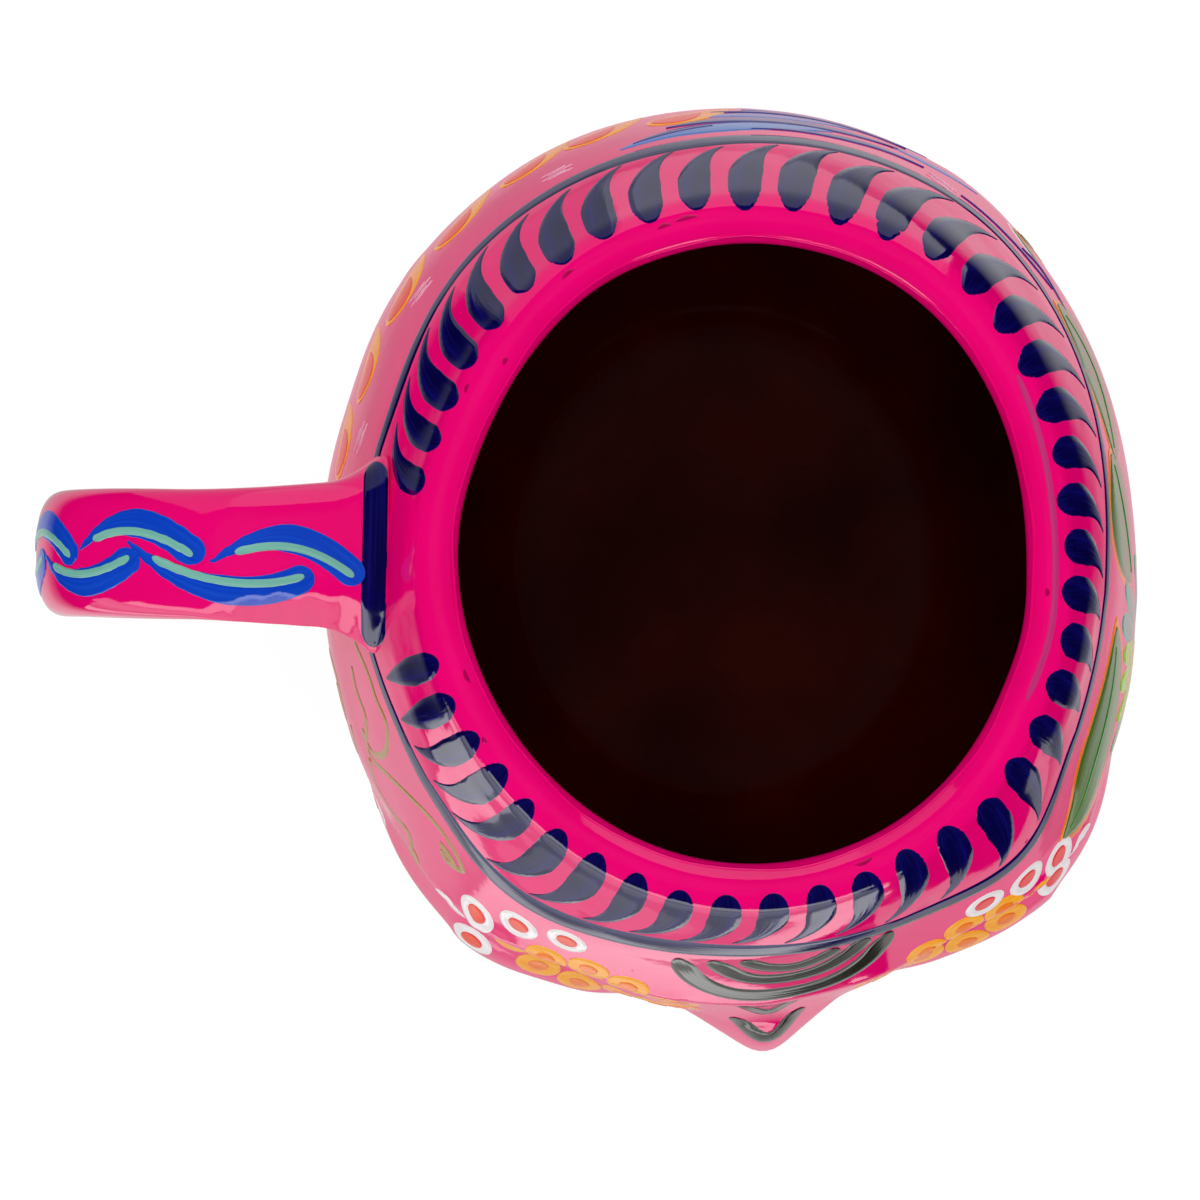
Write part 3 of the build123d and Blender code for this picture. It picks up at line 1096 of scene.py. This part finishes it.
def flowers():
    """Round flowers of comma petals in two colours."""
    for name, bearing, drop, count, reach, width, outer, inner, eye in FLOWERS:
        ground = body_chart(bearing, drop)
        brush(name + "_petals", outer, petals(ground, count, 2.2, reach, width))
        brush(name + "_inner_petals", inner, petals(ground, count, 1.8, reach * 0.7, width * 0.45), coats=2)
        dabs(name + "_eye", eye, ((bearing, drop, reach * 0.34, reach * 0.34),), coats=3)


# The fan flower on the right: its middle, and the tips of its petals
FAN_MIDDLE = (347, 48)
LIME_TIPS = ((346, 29.1), (341.5, 30.1), (337.1, 33.3), (332, 44), (334, 56), (345, 63), (358, 60), (362, 47))
TURQUOISE_TIPS = ((355.8, 24.5), (350.5, 25.1), (332.8, 35.1), (330.5, 50), (339.5, 61), (352, 64))
TURQUOISE_TIPS += ((362, 54), (360, 36))


def fan_flower():
    """Lime and turquoise petals that fan out from one eye."""
    for name, finish, tips, width, coats in (
        ("turquoise_petals", TURQUOISE, TURQUOISE_TIPS, 3.6, 1),
        ("lime_petals", LIME, LIME_TIPS, 3.2, 2),
    ):
        strokes = [(all_round, through(tip, FAN_MIDDLE), comma(width, head=0.22, tail=0.2)) for tip in tips]
        brush(name, finish, strokes, coats)
    dabs("fan_flower_eye", YELLOW, (FAN_MIDDLE + (4.6, 4.6),), coats=3)
    dabs("fan_flower_pupil", CORAL, (FAN_MIDDLE + (2.2, 2.2),), coats=4)


def mouth_and_cheeks():
    """Stitched mouth, nostrils, and a turquoise spiral on each cheek."""
    smile = through((252, 66), (262, 71), (274.5, 73), (287, 71), (297, 66))
    strokes = [(all_round, smile, blade(2.6))]
    stitches, half_stitch = 9, Vector((0, 3.6))
    for index in range(stitches):
        middle = smile((index + 1) / (stitches + 1))
        stitch = (middle + half_stitch, middle - half_stitch)
        strokes.append((all_round, partial(bezier, stitch), even(1.3, rounding=0.12)))
    brush("stitched_mouth", BLACK, strokes, along=36, across=4)
    dabs("nostrils", BLACK, ((270.4, 56.5, 2.6, 3.6), (278.6, 56.5, 2.6, 3.6)))
    curl = comma(2.0, head=0.04, body=0.6, tail=0.4)
    curls = [
        (body_chart(bearing, 63), spiral(6.4, 1.7, first, hand), curl)
        for bearing, first, hand in ((236, 0.6, 1), (313, 2.5, -1))
    ]
    brush("cheek_spirals", TURQUOISE, curls, along=64, across=4)


def foot_border():
    """Navy line above the foot, with a row of white dots over it."""
    coat = new_paint()

    def place(part, side):
        turn = -360 * part
        return on_body(turn, 98.0 + 0.3 * math.sin(math.radians(3 * turn)) - side * 1.1)

    lay(coat, 300, 4, place, PAINT, closed=True)
    dry(coat, "foot_line", NAVY)
    dots = 40
    dabs("foot_dots", WHITE, [(360 * index / dots, 94.2, 1.9, 1.9) for index in range(dots)])


# Small smears of darker lacquer on the lip: bearing, drop, length
SMEARS = ((99, 0.4, 2.6), (103, 0.2, 1.6), (121.5, 0.3, 1.8), (140.5, -0.9, 1.0), (148.6, 1.4, 1.2))
SMEARS += ((204, -1.1, 1.8), (216, 0.4, 0.8), (292, -0.7, 2.2), (353, -0.6, 0.9))


def lip_smears():
    """Smears that the brush left in the lacquer on the lip, and a painted reflection: a muted band along the
    lip's right side.
    """
    smears = []
    for bearing, drop, length in SMEARS:
        smear = ((-length / 2, 0.1), (0, -0.2), (length / 2, 0.15))
        smears.append((body_chart(bearing, drop), partial(bezier, smear), blade(0.6)))
    brush("lip_smears", WINE, smears, coats=0.6, along=8, across=4)
    # Painted reflection: a muted band along the right of the lip, where a grey thing shows in the gloss
    reflection_route = through((333, 0), (345, 0.25), (357, 0.3), (369, 0.3), (381, 0.4), (393, 0.6))
    brush("painted_reflection_band", REFLECTION_BAND_PAINT, [(all_round, reflection_route, even(0.9))], coats=0.5, along=80, across=4)


gold_scrolls()
flame_row()
white_dashes()
feathers()
leaves()
flowers()
fan_flower()
mouth_and_cheeks()
foot_border()
lip_smears()


# Stage and light, in metres


def stage_board(name, corner):
    """A stage board whose corners take the places, in metres, of a square from -1 to 1."""
    board = bmesh.new()
    grid = bmesh.ops.create_grid(board, x_segments=1, y_segments=1, size=1.0)
    for vert in grid["verts"]:
        vert.co = corner(vert.co.x, vert.co.y)
    mesh = bpy.data.meshes.new(name)
    board.to_mesh(mesh)
    board.free()
    made = bpy.data.objects.new(name, mesh)
    bpy.context.scene.collection.objects.link(made)
    return made


def toward(bearing, elevation):
    """Direction from the mug at a bearing and an elevation."""
    turn, tilt = math.radians(bearing), math.radians(elevation)
    return Vector((math.cos(turn) * math.cos(tilt), math.sin(turn) * math.cos(tilt), math.sin(tilt)))


AIM = Vector((0, 0, 0.08))
FLOOR_REACH = 4.0

# The turntable: its middle, where its edge fades, and how it brightens away from the mug, a painted shade
# close to its foot
TURNTABLE_CENTRE = toward(165, 0) * 0.025
TURNTABLE_EDGE = (0.108, 0.148)
BRIGHTENING = (0.06, 0.13, 0.75, 1.12)

# Its dim side, a painted shadow, where that fades, how much dimmer it is, and the reach of the painted pink
# light that the mug throws on it close to the foot
DIM_SIDE = toward(143, 0)
DIM_EDGE = (0.55, 0.95)
DIMMING = 0.5
PINK_BOUNCE_EDGE = (0.07, 0.09)


def make_floor():
    """Pale floor: white to the eye with a faint shadow, and in the gloss a glowing round white turntable with
    painted shade and painted pink light from the mug.
    """
    floor = stage_board("floor", lambda x, y: Vector((FLOOR_REACH * x, FLOOR_REACH * y, 0)))
    finish, tree = new_finish("pale_floor")
    place = node(tree, "TexCoord").outputs["Object"]
    away = node(tree, "VectorMath", (place, TURNTABLE_CENTRE), operation="DISTANCE").outputs["Value"]
    disc = node(tree, "MapRange", (away, *TURNTABLE_EDGE, 1.0, 0.0))
    facing = node(tree, "VectorMath", (place,), operation="NORMALIZE")
    across = node(tree, "VectorMath", (facing, DIM_SIDE), operation="DOT_PRODUCT").outputs["Value"]
    # Painted shadow: the glow is dimmer on the side away from the light
    shading = node(tree, "MapRange", (across, *DIM_EDGE, 0.0, DIMMING))
    outwards = node(tree, "VectorMath", (place,), operation="LENGTH").outputs["Value"]
    # Painted shade: the glow falls off towards the mug's foot
    falloff = node(tree, "MapRange", (outwards, *BRIGHTENING))
    away_from_foot = node(tree, "MapRange", (outwards, *PINK_BOUNCE_EDGE))
    dimmed = node(tree, "Math", (shading, away_from_foot), operation="MULTIPLY")
    open_part = node(tree, "Math", (1.0, dimmed), operation="SUBTRACT")
    lit = node(tree, "Math", (falloff, open_part), operation="MULTIPLY")
    sheen = node(tree, "Math", (disc, lit), operation="MULTIPLY")
    # Painted pink light that the mug throws on the turntable close to its foot
    painted_pink_bounce = node(tree, "Mix", {"Factor": away_from_foot, "A": "#FFCFD8", "B": "#FFFFFF"}, data_type="RGBA")
    mirrored = node(tree, "Emission", {"Color": painted_pink_bounce.outputs["Result"], "Strength": sheen})
    pale = node(tree, "BsdfDiffuse", {"Color": (0.85, 0.85, 0.85, 1)})
    shade = node(tree, "BsdfDiffuse", {"Color": (0.1, 0.1, 0.1, 1)})
    glow = node(tree, "Emission", {"Strength": 0.94})
    seen = node(tree, "AddShader", (shade, glow))
    path = node(tree, "LightPath").outputs
    gloss = node(tree, "MixShader", (path["Is Glossy Ray"], pale, mirrored))
    both = node(tree, "MixShader", (path["Is Camera Ray"], gloss, seen))
    node(tree, "OutputMaterial", {"Surface": both})
    floor.data.materials.append(finish)


def make_world():
    """White to the eye, an even fill on the clay, and a dark room in the gloss."""
    world = bpy.data.worlds.new("studio")
    bpy.context.scene.world = world
    world.use_nodes = True
    tree = world.node_tree
    tree.nodes.clear()
    fill, dark, white = (
        node(tree, "Background", {"Color": "#FFFFFF", "Strength": level}) for level in (0.5, 0.012, 1.0)
    )
    path = node(tree, "LightPath").outputs
    room = node(tree, "MixShader", (path["Is Glossy Ray"], fill, dark))
    both = node(tree, "MixShader", (path["Is Camera Ray"], room, white))
    node(tree, "OutputWorld", {"Surface": both})


def add_lamp(name, bearing, elevation, distance, size, power):
    """A soft square lamp that lights the mug without a mark in the gloss."""
    lamp = bpy.data.lights.new(name, "AREA")
    lamp.size = size
    lamp.energy = power
    away = toward(bearing, elevation)
    made = bpy.data.objects.new(name, lamp)
    made.location = AIM + away * distance
    made.rotation_euler = away.to_track_quat("Z", "Y").to_euler()
    made.visible_glossy = False
    made.visible_camera = False
    bpy.context.scene.collection.objects.link(made)


def add_reflector(name, bearing, low, high, glow):
    """A bright board that shows only in the gloss, from the distance, height and width of two edges."""
    outward, sideways = toward(bearing, 0), toward(bearing + 90, 0)

    def corner(x, y):
        distance, height, width = low if y < 0 else high
        return outward * distance + sideways * x * width / 2 + Vector((0, 0, height))

    board = stage_board(name, corner)
    finish, tree = new_finish(name)
    node(tree, "OutputMaterial", {"Surface": node(tree, "Emission", {"Strength": glow})})
    board.data.materials.append(finish)
    board.visible_camera = False
    board.visible_diffuse = False
    board.visible_shadow = False


# Lamps: bearing, elevation, distance, size and power
LAMPS = {
    "overhead": (60, 84, 1.6, 1.3, 11.8),
    "side_fill": (235, 35, 1.4, 0.9, 2.0),
    "front_fill": (250, 12, 1.4, 0.9, 1.8),
    "right_fill": (5, 12, 1.4, 0.9, 2.4),
    "back_fill": (140, 12, 1.4, 0.9, 2.0),
}

# Boards in the gloss: bearing, then distance, height and width of the lower and the upper edge, and glow
BOARDS = {
    "front_softbox": (256, (0.6, 0.05, 1.0), (0.75, 0.21, 1.2), 3.6),
    "front_low_board": (249, (0.25, 0.001, 0.5), (0.6, 0.04, 1.1), 1.8),
    "front_near_board": (252, (0.12, 0.001, 0.24), (0.155, 0.001, 0.31), 2.3),
    "front_middle_board": (252, (0.155, 0.001, 0.31), (0.185, 0.001, 0.37), 0.7),
    "front_far_board": (252, (0.185, 0.001, 0.37), (0.25, 0.001, 0.5), 1.2),
    "front_right_board": (313, (0.108, 0.001, 0.08), (0.142, 0.001, 0.1), 0.75),
    "back_board": (82, (0.132, 0.001, 0.16), (0.62, 0.75, 0.75), 0.95),
    "back_left_board": (125, (0.14, 0.001, 0.07), (0.62, 0.75, 0.3), 0.5),
}

make_floor()
make_world()
for name, setting in LAMPS.items():
    add_lamp(name, *setting)
for name, setting in BOARDS.items():
    add_reflector(name, *setting)

# The camera looks straight down from a little to the left of the mug; its place is in millimetres
CAMERA_PLACE = (-15.6, -5.07, 745.0)
LENS = 174.9
SENSOR = 36.0

camera = bpy.data.cameras.new("camera")
camera.lens = LENS
camera.sensor_width = SENSOR
viewpoint = bpy.data.objects.new("camera", camera)
viewpoint.location = Vector(CAMERA_PLACE) * MM
bpy.context.scene.collection.objects.link(viewpoint)
bpy.context.scene.camera = viewpoint
bpy.context.scene.view_settings.view_transform = "Standard"
